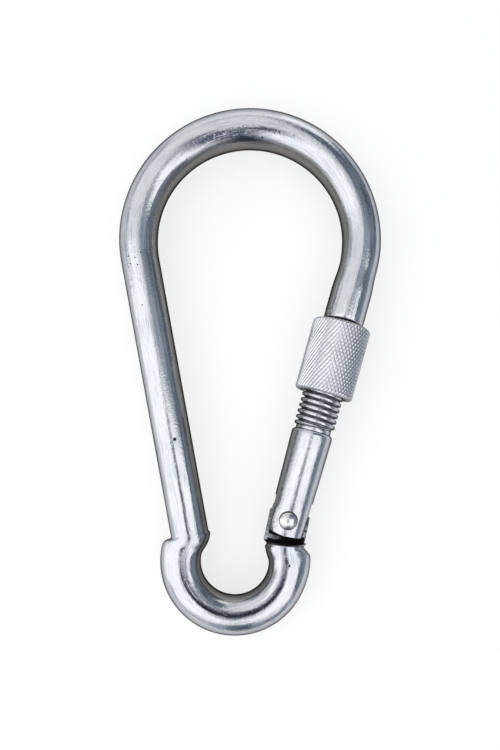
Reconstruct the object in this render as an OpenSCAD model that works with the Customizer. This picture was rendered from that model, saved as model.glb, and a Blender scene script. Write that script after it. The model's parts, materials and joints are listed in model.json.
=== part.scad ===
// Screw gate carabiner: a pear-shaped snap hook of bent steel rod, with a sprung gate that
// is locked by a knurled screw sleeve.
//
// It lies flat. X runs across it, Y along it with the big bow at +Y, and Z up from the
// surface it lies on, which its thickest piece, the sleeve, touches. The origin is at the
// middle of its outline.

/* [Hook] */
// Diameter of the rod
rod_d = 13; // [12:0.1:13.1]
// Diameter of the rod round the big bow, which bending thickens
bow_rod_d = 13.2; // [13.2:0.1:13.8]
// Length over both bows
hook_len = 180; // [170:1:190]
// Radius of the big bow, to the middle of the rod
bow_r = 38.2; // [36:0.1:41]
// Diameter of the leg that ends in the nose
leg_d = 13.9; // [13:0.1:14]
// Length over which the rod swells to the leg's diameter
leg_swell = 8; // [4:0.5:12]

/* [Small eye] */
// Radius of the small eye, to the middle of the rod
eye_r = 18.6; // [17.5:0.1:19.5]
// Sideways place of the middle of the small eye
eye_x = -5.2; // [-6.5:0.1:-4]
// Diameter of the rod round the small eye
eye_rod_d = 13.9; // [13.5:0.1:14.5]
// How far round the small eye the spine lands, up from its widest point
spine_turn = 29.4; // [27:0.1:32]
// How far inside the ring's middle line the spine lands
spine_inset = 1; // [0.5:0.1:1.5]
// How far round the small eye the neck stands, up from its widest point
neck_turn = 14.4; // [13:0.1:16]
// How far inside the ring's middle line the neck stands
neck_inset = 0.9; // [0.5:0.1:1.3]
// Radius of the flat face of the step on the spine
spine_step_r = 8.2; // [7.8:0.1:8.8]
// Radius of the flat face of the step under the neck
neck_step_r = 6.8; // [6.6:0.1:7.4]
// Rounding of the forged steps
step_round = 1.6; // [0.8:0.1:2]

/* [Hinge] */
// How far the hinge sits inside the middle line of the gate
hinge_inset = 0.4; // [0:0.1:1.5]
// Diameter of the rivet's shank
rivet_d = 4.2; // [3:0.1:5]
// Diameter of the rivet's heads
rivet_head_d = 6; // [5.5:0.1:7]
// Height of the rivet's heads
rivet_head_h = 1.7; // [1:0.1:2]
// Height of the straight rim of the rivet's heads
rivet_rim_h = 0.4; // [0.2:0.1:0.6]
// Radial clearance of the rivet in the tongue
rivet_clear = 0.05; // [0.02:0.01:0.09]
// Thickness of the tongue
tongue_t = 5; // [4:0.1:6]
// Lean of the tongue from the hook's long axis
tongue_lean = 12; // [10:0.5:14]
// Height of the tongue's square shoulders above the hinge
tongue_rise = 2.2; // [1.5:0.1:2.6]
// Width of the tongue
tongue_w = 13.7; // [13:0.1:14]
// Radius of the tongue's round cam end
cam_r = 5.5; // [5.3:0.1:5.8]
// How far the cam end is struck off the hinge
cam_offset = 0.8; // [0.4:0.1:1]
// Clearance on each side of the tongue in the fork
fork_clear = 0.2; // [0.1:0.05:0.4]
// Distance from the hinge to the shoulder under the gate
shoulder_drop = 7.9; // [7.6:0.1:8.4]
// Slope of the shoulder
shoulder_lean = 5; // [4:0.5:6]
// Diameter of the shoulder's flange
flange_d = 14.2; // [13.8:0.1:15]
// Thickness of the shoulder's flange
flange_t = 0.9; // [0.7:0.1:1.4]
// Height of the flange's rim, under which it narrows to the neck
flange_rim = 0.3; // [0.2:0.05:0.5]
// Diameter of the neck under the flange
neck_d = 12.9; // [12.5:0.1:13]
// Length of the neck down to its step
neck_len = 1.2; // [0.8:0.1:2]
// Height of the rivet's seats from the middle of the rod
rivet_seat_h = 5.7; // [5.3:0.1:5.9]
// Clearance round the rivet's heads in their seats
rivet_seat_clear = 0.2; // [0.1:0.05:0.4]

/* [Gate] */
// Diameter of the gate at its hinge end
gate_low_d = 12.9; // [12.6:0.1:13.4]
// Diameter of the gate's top shoulder
gate_top_d = 14.2; // [13.8:0.1:14.4]
// How far the gate's end hangs past the hinge
gate_drop = 5.2; // [4.6:0.1:5.6]
// Distance from the hinge to the gate's top shoulder
barrel_len = 31.2; // [29:0.1:32]
// Bevel of the gate's top shoulder
barrel_bevel = 1.1; // [0.5:0.1:1.4]
// Bevel of the gate's hinge end
end_bevel = 0.5; // [0.2:0.1:0.8]
// Length of the relief under the thread
relief_len = 1.8; // [1.5:0.1:2.5]
// Depth of the fork's slot past the hinge
fork_depth = 7.2; // [7:0.1:9]
// Outside diameter of the thread
thread_d = 14; // [13.8:0.1:14.2]
// Pitch of the thread
thread_pitch = 2; // [1.5:0.1:2.5]
// Depth of the thread
thread_depth = 1.1; // [0.8:0.05:1.2]

/* [Latch] */
// Distance from the hinge to the end face of the nose
nose_reach = 70; // [69:0.1:71]
// Gap between the gate's tip and the nose
latch_gap = 0.4; // [0.3:0.05:0.6]
// Width of the neck under the gate's head
latch_neck_w = 3.4; // [3:0.1:4.4]
// Width of the gate's head
latch_head_w = 9; // [6.4:0.1:9.4]
// Height of the neck
latch_neck_h = 1.6; // [1.6:0.1:2.4]
// Height of the head
latch_head_h = 1.5; // [1.5:0.1:2.5]
// How far the slot in the nose runs past the middle of the rod
latch_stop = 3.2; // [2:0.1:4]

/* [Spring and plunger] */
// Diameter of the spring's bore
bore_d = 5; // [4.4:0.1:5.2]
// Distance from the hinge to the blind end of the bore
bore_end = 34; // [32:0.5:36]
// Diameter of the spring's wire
wire_d = 0.8; // [0.6:0.05:1]
// Number of turns
spring_turns = 11; // [8:1:13]
// Radial clearance of the plunger in the bore
plunger_clear = 0.06; // [0.03:0.01:0.09]
// Length of the plunger's head
plunger_len = 5; // [4:0.5:6]
// Diameter of the plunger's spigot inside the spring
spigot_d = 2.4; // [2:0.1:2.6]
// Length of the plunger's spigot
spigot_len = 4; // [3:0.5:5]
// Radial clearance of the spring in the bore
spring_clear = 0.15; // [0.1:0.05:0.2]
// Gap between the plunger and the cam
cam_gap = 0.08; // [0.05:0.01:0.12]

/* [Sleeve] */
// Outside diameter of the sleeve
sleeve_d = 20; // [18.5:0.1:21]
// Length of the sleeve
sleeve_len = 24.6; // [20:0.1:24.8]
// Distance from the hinge to the sleeve's top
sleeve_top = 68.9; // [68:0.1:69]
// Bevel of the sleeve's outer edges
sleeve_bevel = 0.9; // [0.5:0.1:1.2]
// Bevel of the mouths of the sleeve's bore
mouth_bevel = 0.6; // [0.3:0.1:0.8]
// Radial clearance of the sleeve round the thread
sleeve_clear = 0.06; // [0.03:0.01:0.09]
// Radial clearance of the sleeve's wide mouth round the nose
nose_clear = 0.45; // [0.3:0.05:0.6]
// Depth of the sleeve's wide mouth
nose_mouth_len = 9.5; // [9:0.5:12]

/* [Hidden] */
$fn = 96;
// Overshoot of cuts
over = 1;
// How far the straight stretches run into the thicker bow
bend_lap = 1;

// The hook's own plane and the middles of its two bows
mid_z = sleeve_d / 2;
bow_y = hook_len / 2 - bow_rod_d / 2 - bow_r;
eye_y = -hook_len / 2 + eye_rod_d / 2 + eye_r;

// A line that leans out from a point to touch a circle round the big bow's middle
function lean_to(point, r) = let (rise = bow_y - point[1])
    asin(r / norm([point[0], rise])) - atan(abs(point[0]) / rise);

// The spine runs up from the small eye to where it touches the big bow's middle line
spine_foot = [eye_x - (eye_r - spine_inset) * cos(spine_turn),
              eye_y + (eye_r - spine_inset) * sin(spine_turn)];
spine_lean = lean_to(spine_foot, bow_r);
spine_top = [-bow_r * cos(spine_lean), bow_y - bow_r * sin(spine_lean)];
spine_len = norm(spine_top - spine_foot);

// The neck's middle line runs up from the small eye to the hinge
flange_foot = shoulder_drop + flange_t;
neck_foot = flange_foot + neck_len;
hinge_x = eye_x + (eye_r - neck_inset) * cos(neck_turn) + neck_foot * sin(shoulder_lean);
hinge_y = eye_y + (eye_r - neck_inset) * sin(neck_turn) + neck_foot * cos(shoulder_lean);

// The leg and the closed gate share a line that touches the big bow on its other side
gate_lean = lean_to([hinge_x, hinge_y], bow_r - hinge_inset);
leg_reach = norm([hinge_x, bow_y - hinge_y]) * cos(gate_lean + atan(hinge_x / (bow_y - hinge_y)));
// Turn of each half of the small eye, past its step, which trims it
eye_turn = 120;
// Direction in which the cam end is struck off the hinge, from the closed gate's line
cam_turn = 75;
cam_x = -cam_offset * sin(cam_turn);
cam_y = cam_offset * cos(cam_turn);

// Gate tip and nose: every face is an arc round the hinge, so that the gate swings clear
tip_reach = nose_reach - latch_gap;
head_foot = tip_reach + latch_neck_h;
head_top = head_foot + latch_head_h;
latch_sweep = 10;
relief_d = thread_d - 2 * thread_depth;
thread_start = barrel_len + relief_len;

// Plunger and spring
plunger_foot = cam_r + cam_y + cam_gap;
plunger_d = bore_d - 2 * plunger_clear;
spring_foot = plunger_foot + plunger_len;
coil_r = bore_d / 2 - spring_clear - wire_d / 2;

// Turns the local +Z axis to lean to the right of the hook's long axis
module along(place, lean) {
    translate([place[0], place[1], mid_z]) rotate([0, 0, -lean]) rotate([-90, 0, 0]) children();
}

// Puts its children in the gate's frame: +Y up the closed gate, origin at the hinge
module in_gate() {
    translate([hinge_x, hinge_y, mid_z]) rotate([0, 0, -gate_lean]) children();
}

// Revolves a profile of radius and height about the middle line of leg, gate and sleeve
module turned() {
    translate([hinge_inset, 0, 0]) rotate([-90, 0, 0]) rotate_extrude() children();
}

// A rod of the given diameter that ends in a ball centred on its far end
module ball_ended_rod(d, len) {
    rotate_extrude() {
        square([d / 2, len]);
        translate([0, len]) intersection() {
            circle(d = d);
            square([d, d]);
        }
    }
}

// What a forged step trims away: all above its face, which is rounded over to a wide cone
module step_trim(face_r, reach) {
    bend = 45;
    rim_r = face_r + step_round * sin(bend);
    rim_y = -step_round * (1 - cos(bend));
    rotate_extrude() difference() {
        polygon([[0, 0], [face_r, 0], [face_r, -step_round], [rim_r, rim_y],
                 [rim_r + reach, rim_y - reach], [rim_r + reach, reach], [0, reach]]);
        translate([face_r, -step_round]) circle(r = step_round);
    }
}

module big_bow() {
    translate([0, bow_y, mid_z]) rotate([0, 0, -gate_lean])
        rotate_extrude(angle = 180 + gate_lean + spine_lean) translate([bow_r, 0])
            circle(d = bow_rod_d);
}

module small_eye() {
    difference() {
        translate([eye_x, eye_y, mid_z]) rotate([0, 0, 270 - eye_turn])
            rotate_extrude(angle = 2 * eye_turn) translate([eye_r, 0]) circle(d = eye_rod_d);
        along(spine_foot, -spine_lean) step_trim(spine_step_r, eye_rod_d);
        along([hinge_x, hinge_y], shoulder_lean) translate([0, 0, -neck_foot])
            step_trim(neck_step_r, eye_rod_d);
    }
}

// The leg swells just below the big bow, and the nose's end face is an arc round the hinge
module leg() {
    difference() {
        in_gate() turned() polygon([[0, leg_reach + bend_lap], [rod_d / 2, leg_reach + bend_lap],
            [rod_d / 2, leg_reach], [leg_d / 2, leg_reach - leg_swell], [leg_d / 2, 0], [0, 0]]);
        in_gate() cylinder(r = nose_reach, h = 2 * leg_d, center = true);
    }
}

module neck_and_flange() {
    along([hinge_x, hinge_y], shoulder_lean + 180) {
        translate([0, 0, flange_foot - over]) ball_ended_rod(neck_d, neck_len + over);
        translate([0, 0, shoulder_drop]) rotate_extrude() polygon([
            [0, 0], [flange_d / 2, 0], [flange_d / 2, flange_rim], [neck_d / 2, flange_t],
            [0, flange_t]]);
    }
}

// The tongue stands on the flange, and its round end is the cam that the plunger rests on
module tongue() {
    in_gate() translate([cam_x, cam_y, 0]) cylinder(r = cam_r, h = tongue_t, center = true);
    intersection() {
        in_gate() translate([hinge_inset, 0, 0]) rotate([0, 0, gate_lean - tongue_lean])
            translate([-tongue_w / 2, -2 * flange_foot, -tongue_t / 2])
                cube([tongue_w, 2 * flange_foot + tongue_rise, tongue_t]);
        along([hinge_x, hinge_y], shoulder_lean) translate([0, 0, -flange_foot])
            cylinder(d = 2 * tongue_w, h = 2 * flange_foot);
    }
}

// The T of the latch, grown by a gap: an arc round the hinge, open on the hook's inner side
module latch_tee(gap) {
    stop = asin((hinge_inset + latch_stop + gap) / head_foot);
    rotate([0, 0, 90 - stop]) rotate_extrude(angle = stop + latch_sweep) {
        translate([tip_reach - over, -latch_neck_w / 2 - gap])
            square([latch_neck_h + 2 * over, latch_neck_w + 2 * gap]);
        translate([head_foot - gap, -latch_head_w / 2 - gap])
            square([latch_head_h + 2 * gap, latch_head_w + 2 * gap]);
    }
}

module hook_body() color("silver") {
    difference() {
        union() {
            big_bow();
            along(spine_top, 180 - spine_lean) translate([0, 0, -bend_lap])
                ball_ended_rod(rod_d, spine_len + bend_lap);
            small_eye();
            leg();
            neck_and_flange();
            tongue();
        }
        in_gate() cylinder(d = rivet_d + 2 * rivet_clear, h = 2 * tongue_t, center = true);
        in_gate() latch_tee(latch_gap);
    }
}

// One groove of the thread, cut from crest to crest with a narrow flat at its root
function groove(y) = let (flat = thread_pitch / 8, side = (thread_pitch - 2 * flat) / 2) [
    [thread_d / 2, y], [relief_d / 2, y + side], [relief_d / 2, y + side + flat],
    [thread_d / 2, y + 2 * side + flat]];

module gate_profile() {
    turns = floor((tip_reach - over - thread_start) / thread_pitch);
    polygon(concat(
        [[0, -gate_drop], [gate_low_d / 2 - end_bevel, -gate_drop],
         [gate_low_d / 2, end_bevel - gate_drop], [gate_top_d / 2, barrel_len - barrel_bevel],
         [gate_top_d / 2 - barrel_bevel, barrel_len], [relief_d / 2, barrel_len],
         [relief_d / 2, thread_start - thread_depth]],
        [for (i = [0:turns - 1]) each groove(thread_start + i * thread_pitch)],
        [[thread_d / 2, tip_reach + over], [0, tip_reach + over]]));
}

module gate() color("gainsboro") in_gate() {
    difference() {
        union() {
            intersection() {
                turned() gate_profile();
                cylinder(r = tip_reach, h = 2 * thread_d, center = true);
            }
            intersection() {
                turned() square([leg_d / 2, head_top + over]);
                latch_tee(0);
            }
        }
        translate([-thread_d, -gate_drop - over, -tongue_t / 2 - fork_clear])
            cube([2 * thread_d, gate_drop + over + fork_depth, tongue_t + 2 * fork_clear]);
        translate([hinge_inset, fork_depth - over, 0]) rotate([-90, 0, 0])
            cylinder(d = bore_d, h = bore_end - fork_depth + over);
        cylinder(d = rivet_d, h = 2 * thread_d, center = true);
        for (side = [0, 1]) mirror([0, 0, side]) translate([0, 0, rivet_seat_h])
            cylinder(d = rivet_head_d + 2 * rivet_seat_clear, h = thread_d);
    }
}

// A head with a straight rim and a dome whose ball meets the rim
module rivet_head() {
    dome_h = rivet_head_h - rivet_rim_h;
    ball_r = (pow(rivet_head_d / 2, 2) + pow(dome_h, 2)) / (2 * dome_h);
    rotate_extrude() {
        square([rivet_head_d / 2, rivet_rim_h]);
        intersection() {
            translate([0, rivet_head_h - ball_r]) circle(r = ball_r);
            square([rivet_head_d / 2, rivet_head_h]);
        }
    }
}

module hinge_rivet() color("lightgray") in_gate() {
    cylinder(d = rivet_d, h = 2 * rivet_seat_h, center = true);
    for (side = [0, 1]) mirror([0, 0, side]) translate([0, 0, rivet_seat_h]) rivet_head();
}

// The wire follows a helix, six-sided and closed at both ends
module coil(wire, radius, turns, height) {
    sides = 6;
    steps_a_turn = 18;
    steps = turns * steps_a_turn;
    points = [for (i = [0:steps], s = [0:sides - 1])
        let (a = 360 * i / steps_a_turn, b = 360 * s / sides, r = radius + wire / 2 * cos(b))
            [r * cos(a), r * sin(a), wire / 2 * sin(b) + height * i / steps]];
    skin = [for (i = [0:steps - 1], s = [0:sides - 1])
        let (a = i * sides + s, b = i * sides + (s + 1) % sides) [a, a + sides, b + sides, b]];
    polyhedron(points, concat(skin, [[for (s = [0:sides - 1]) s]],
        [[for (s = [sides - 1:-1:0]) steps * sides + s]]));
}

module gate_spring() color("slategray") in_gate() {
    translate([hinge_inset, spring_foot + wire_d / 2, 0]) rotate([-90, 0, 0])
        coil(wire_d, coil_r, spring_turns, bore_end - spring_foot - wire_d);
}

module spring_plunger() color("dimgray") in_gate() {
    turned() translate([0, plunger_foot]) union() {
        square([plunger_d / 2, plunger_len]);
        square([spigot_d / 2, plunger_len + spigot_len]);
    }
}

// The bore is plain over the thread's crests and opens into a wide mouth that takes the nose
module lock_sleeve() color("silver") in_gate() {
    foot = sleeve_top - sleeve_len;
    bore_r = thread_d / 2 + sleeve_clear;
    mouth_r = leg_d / 2 + nose_clear;
    out_r = sleeve_d / 2;
    turned() polygon([
        [bore_r + mouth_bevel, foot], [out_r - sleeve_bevel, foot], [out_r, foot + sleeve_bevel],
        [out_r, sleeve_top - sleeve_bevel], [out_r - sleeve_bevel, sleeve_top],
        [mouth_r + mouth_bevel, sleeve_top], [mouth_r, sleeve_top - mouth_bevel],
        [mouth_r, sleeve_top - nose_mouth_len], [bore_r, sleeve_top - nose_mouth_len],
        [bore_r, foot + mouth_bevel]]);
}

hook_body();
gate();
hinge_rivet();
gate_spring();
spring_plunger();
lock_sleeve();
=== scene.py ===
import json
import math

import bmesh
import bpy
import numpy as np
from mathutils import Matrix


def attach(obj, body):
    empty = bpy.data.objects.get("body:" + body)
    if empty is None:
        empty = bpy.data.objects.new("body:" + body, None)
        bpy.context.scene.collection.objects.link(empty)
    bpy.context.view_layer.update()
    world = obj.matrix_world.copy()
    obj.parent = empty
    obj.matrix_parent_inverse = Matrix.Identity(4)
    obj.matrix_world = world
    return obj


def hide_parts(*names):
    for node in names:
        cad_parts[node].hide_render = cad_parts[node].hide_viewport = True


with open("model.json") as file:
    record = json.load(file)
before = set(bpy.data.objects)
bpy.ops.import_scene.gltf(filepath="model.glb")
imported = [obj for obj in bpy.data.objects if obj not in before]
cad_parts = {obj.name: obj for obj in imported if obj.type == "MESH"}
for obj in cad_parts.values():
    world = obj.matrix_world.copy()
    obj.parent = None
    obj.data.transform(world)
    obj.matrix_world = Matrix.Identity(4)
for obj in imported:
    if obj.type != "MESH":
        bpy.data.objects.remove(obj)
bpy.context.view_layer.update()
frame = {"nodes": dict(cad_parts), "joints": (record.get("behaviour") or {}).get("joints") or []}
MM = 0.001

# Sizes in millimetres, as the solids have them
ROD_R, BOW_ROD_R, LEG_R, EYE_ROD_R = 6.5, 6.6, 6.95, 6.95
BOW_R, EYE_R, LEG_SWELL = 38.2, 18.6, 8.0
EYE_CREST_IN = 0.9    # how far the forging's crest lies to the inner side of its middle line
MID_Z = 10.0
BOW = np.array([0.0, 45.2])
EYE = np.array([-5.2, -64.45])
hinge_joint = next(j for j in frame["joints"] if j["name"] == "gate_hinge")
slide_joint = next(j for j in frame["joints"] if j["name"] == "sleeve_slide")
HINGE = np.array(hinge_joint["pos_m"][:2]) / MM
GATE_DIR = np.array(slide_joint["axis"][:2])
GATE_SIDE = np.array([GATE_DIR[1], -GATE_DIR[0]])
GATE_LEAN = math.atan2(GATE_DIR[0], GATE_DIR[1])
INSET = 0.4    # the gate's middle line passes the hinge this far to the outer side
AXIS_FOOT = HINGE + INSET * GATE_SIDE
SPINE_TURN, SHOULDER_LEAN = math.radians(29.4), math.radians(5)
SPINE_FOOT = EYE + (EYE_R - 1) * np.array([-math.cos(SPINE_TURN), math.sin(SPINE_TURN)])
rise = BOW[1] - SPINE_FOOT[1]
SPINE_LEAN = math.asin(BOW_R / math.hypot(SPINE_FOOT[0], rise)) - math.atan(-SPINE_FOOT[0] / rise)
SPINE_TOP = BOW + BOW_R * np.array([-math.cos(SPINE_LEAN), -math.sin(SPINE_LEAN)])
SPINE_DIR = np.array([math.sin(SPINE_LEAN), -math.cos(SPINE_LEAN)])
LEG_TOP = BOW + BOW_R * np.array([math.cos(GATE_LEAN), -math.sin(GATE_LEAN)])
LEG_REACH = float(np.dot(LEG_TOP - HINGE, GATE_DIR))
NECK_DIR = np.array([-math.sin(SHOULDER_LEAN), -math.cos(SHOULDER_LEAN)])
SHOULDER, FLANGE_FOOT, NECK_FOOT = 7.9, 8.8, 10.0
FLANGE_R, NECK_R = 7.1, 6.45
SPINE_STEP_R, NECK_STEP_R, NECK_STEP_ROUND = 8.2, 6.8, 0.9
NOSE_REACH, TIP_REACH = 70.0, 69.6
EYE_FROM, EYE_TO = math.radians(146), math.radians(394)    # where the eye's middle line is held
AROUND = 128
TO_DM = 0.01    # the UV maps run in decimetres
HOOK_GIRTH, GATE_GIRTH, RIVET_GIRTH, SLEEVE_GIRTH = 42.0, 42.0, 18.0, 62.8


# ---------------------------------------------------------------- mesh helpers

def smooth_step(x):
    x = np.clip(x, 0, 1)
    return x * x * (3 - 2 * x)


def ring_turns(n):
    """Angles once round a ring, from its underside on."""
    return -math.pi / 2 + 2 * math.pi * np.arange(n) / n


def make_mesh(name, verts, faces, uvs=None, sharp_deg=32):
    mesh = bpy.data.meshes.new(name)
    mesh.from_pydata((np.asarray(verts) * MM).tolist(), [], faces)
    if uvs is not None:
        layer = mesh.uv_layers.new(name="along")
        layer.data.foreach_set("uv", np.asarray(uvs, np.float32).ravel())
    mesh.validate()
    form = bmesh.new()
    form.from_mesh(mesh)
    bmesh.ops.recalc_face_normals(form, faces=form.faces)
    form.to_mesh(mesh)
    form.free()
    mesh.shade_smooth()
    mesh.set_sharp_from_angle(angle=math.radians(sharp_deg))
    obj = bpy.data.objects.new(name, mesh)
    bpy.context.scene.collection.objects.link(obj)
    return obj


def tube(name, rings, lengths, round_mm, sharp_deg=32, caps=True):
    """A closed sweep through rings [k, n, 3]. The UV map runs along it and round it, in decimetres."""
    k, n, _ = rings.shape
    verts = rings.reshape(-1, 3)
    faces, uvs = [], []
    for i in range(k - 1):
        for j in range(n):
            a, b = i * n + j, i * n + (j + 1) % n
            faces.append((a, b, b + n, a + n))
            u0, u1 = lengths[i] * TO_DM, lengths[i + 1] * TO_DM
            v0, v1 = round_mm * j / n * TO_DM, round_mm * (j + 1) / n * TO_DM
            uvs += [(u0, v0), (u0, v1), (u1, v1), (u1, v0)]
    if caps:
        for base, u, flip in ((0, lengths[0], True), ((k - 1) * n, lengths[-1], False)):
            ids = list(range(base, base + n))
            faces.append(tuple(ids[::-1] if flip else ids))
            uvs += [(u * TO_DM, 0.0)] * n
    return make_mesh(name, verts, faces, uvs, sharp_deg)


def ring_lengths(rings):
    steps = np.linalg.norm(np.diff(rings, axis=0), axis=2).mean(axis=1)
    return np.concatenate([[0], np.cumsum(steps)])


def cut(obj, cutter, operation="DIFFERENCE"):
    mod = obj.modifiers.new("cut", "BOOLEAN")
    mod.operation, mod.solver, mod.object = operation, "EXACT", cutter
    applied(obj)
    bpy.data.objects.remove(cutter)


def applied(obj):
    """Makes the modifiers' result the object's own mesh."""
    bpy.context.view_layer.update()
    done = bpy.data.meshes.new_from_object(obj.evaluated_get(bpy.context.evaluated_depsgraph_get()))
    obj.modifiers.clear()
    old, obj.data = obj.data, done
    bpy.data.meshes.remove(old)
    done.name = obj.name


def bevelled(obj, width_mm, angle_deg):
    mod = obj.modifiers.new("bevel", "BEVEL")
    mod.width, mod.segments = width_mm * MM, 3
    mod.limit_method, mod.angle_limit = "ANGLE", math.radians(angle_deg)
    applied(obj)


def smoothed(obj, sharp_deg):
    obj.data.shade_smooth()
    obj.data.set_sharp_from_angle(angle=math.radians(sharp_deg))


# ---------------------------------------------------------------- the hook's form

def smin(a, b, k):
    """The lower of two forms, blended over a width k."""
    h = np.clip(0.5 + 0.5 * (b - a) / k, 0, 1)
    return b + (a - b) * h - k * h * (1 - h)


def smax(a, b, k):
    return -smin(-a, -b, k)


def path_form(p):
    """Leg, big bow and spine: one rod along its middle line."""
    xy, z = p[:, :2], p[:, 2] - MID_Z
    rel = xy - BOW
    ang = np.arctan2(rel[:, 1], rel[:, 0])
    ang = np.where(ang < -math.pi / 2, ang + 2 * math.pi, ang)
    ang = np.clip(ang, -GATE_LEAN, math.pi + SPINE_LEAN)
    arc = BOW + BOW_R * np.stack([np.cos(ang), np.sin(ang)], 1)
    d_arc = np.linalg.norm(xy - arc, axis=1)
    t_leg = np.clip((xy - HINGE) @ GATE_DIR, 0, LEG_REACH)
    d_leg = np.linalg.norm(xy - AXIS_FOOT - t_leg[:, None] * GATE_DIR, axis=1)
    t_sp = np.clip((xy - SPINE_TOP) @ SPINE_DIR, 0, np.linalg.norm(SPINE_FOOT - SPINE_TOP))
    d_sp = np.linalg.norm(xy - SPINE_TOP - t_sp[:, None] * SPINE_DIR, axis=1)
    r_leg = ROD_R + (LEG_R - ROD_R) * smooth_step((LEG_REACH - t_leg) / LEG_SWELL)
    from_end = np.minimum(ang + GATE_LEAN, math.pi + SPINE_LEAN - ang)
    r_arc = ROD_R + (BOW_ROD_R - ROD_R) * smooth_step(from_end / 0.2)
    forms = [np.hypot(d_leg, z) - r_leg, np.hypot(d_arc, z) - r_arc, np.hypot(d_sp, z) - ROD_R]
    return np.minimum(np.minimum(forms[0], forms[1]), forms[2])


def step_form(p, foot, up, face_r, rounding=1.6):
    """Positive above a forged step's face, which is rounded over to a wide cone."""
    rel = p[:, :2] - foot
    across = rel[:, 0] * up[1] - rel[:, 1] * up[0]
    c, s = np.hypot(across, p[:, 2] - MID_Z) - face_r, rel @ up + rounding
    flats = np.maximum(s, (c + s) / math.sqrt(2))
    return np.where((c > 0) & (s > c), np.hypot(c, s), flats) - rounding


def turn_step(turned, start_deg, span_deg):
    """Rises from 0 to 1 over a span of the eye's bend, or falls where the span is negative."""
    return smooth_step((turned - math.radians(start_deg)) / math.radians(span_deg))


def eye_form(p):
    """The eye's bend, cut off by the forged steps at its two ends."""
    xy, z = p[:, :2], p[:, 2] - MID_Z
    rel = xy - EYE
    ang = np.arctan2(rel[:, 1], rel[:, 0]) % (2 * math.pi)
    turned = np.where(ang < math.radians(90), ang + 2 * math.pi, ang)
    held = np.clip(turned, EYE_FROM, EYE_TO)
    out = np.stack([np.cos(held), np.sin(held)], 1)
    # the crest lies to the inner side of the bar's middle, less so toward the ends
    crest_in = EYE_CREST_IN * turn_step(turned, 170, 75) * (1 - 0.5 * turn_step(turned, 325, 50))
    off = xy - (EYE + EYE_R * out) + (crest_in * (z / EYE_ROD_R) ** 2)[:, None] * out
    # toward the neck it grows wider on the outer side; both ends sink below what they meet
    start, end = turn_step(turned, 195, -40), turn_step(turned, 335, 40)
    outward = np.sum(off * out, axis=1)
    off = off - (0.075 * end * np.maximum(outward, 0))[:, None] * out
    ring = np.hypot(np.linalg.norm(off, axis=1), z * (1 + 0.2 * (end + start))) - EYE_ROD_R
    left = step_form(p, SPINE_FOOT, -SPINE_DIR, SPINE_STEP_R)
    right = step_form(p, HINGE + NECK_FOOT * NECK_DIR, -NECK_DIR, NECK_STEP_R, NECK_STEP_ROUND)
    left = np.where(turned < math.radians(250), left, -99)
    right = np.where(turned > math.radians(290), right, -99)
    return smax(smax(ring, left, 0.5), right, 0.5)


def neck_form(p):
    """The short neck under the flange."""
    rel = p[:, :2] - HINGE
    t = rel @ NECK_DIR
    held = np.clip(t, SHOULDER, NECK_FOOT)
    d = np.linalg.norm(rel - held[:, None] * NECK_DIR, axis=1)
    return np.hypot(d, p[:, 2] - MID_Z) - NECK_R


def hook_form(p):
    return smin(smin(path_form(p), eye_form(p), 1.1), neck_form(p), 1.3)


def cast(centre, normal):
    """The ring where the hook's skin meets the upright plane through a middle point."""
    side = np.array([normal[1], -normal[0]])
    th = ring_turns(AROUND)
    ray = np.stack([np.cos(th) * side[0], np.cos(th) * side[1], np.sin(th)], 1)
    start = np.array([centre[0], centre[1], MID_Z])
    t = np.full(AROUND, 3.0)
    for _ in range(60):
        t = t - 0.9 * hook_form(start + t[:, None] * ray)
    return start + t[:, None] * ray


def on_arc(centre, radius, a):
    return centre + radius * np.array([math.cos(a), math.sin(a)])


def arc_tangent(a):
    return np.array([-math.sin(a), math.cos(a)])


def shrunk(ring, centre, share):
    mid = np.array([centre[0], centre[1], MID_Z])
    return mid + (ring - mid) * share


def blended(a, b, steps):
    return [a + (b - a) * s for s in np.linspace(0, 1, steps + 2)[1:-1]]


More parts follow.
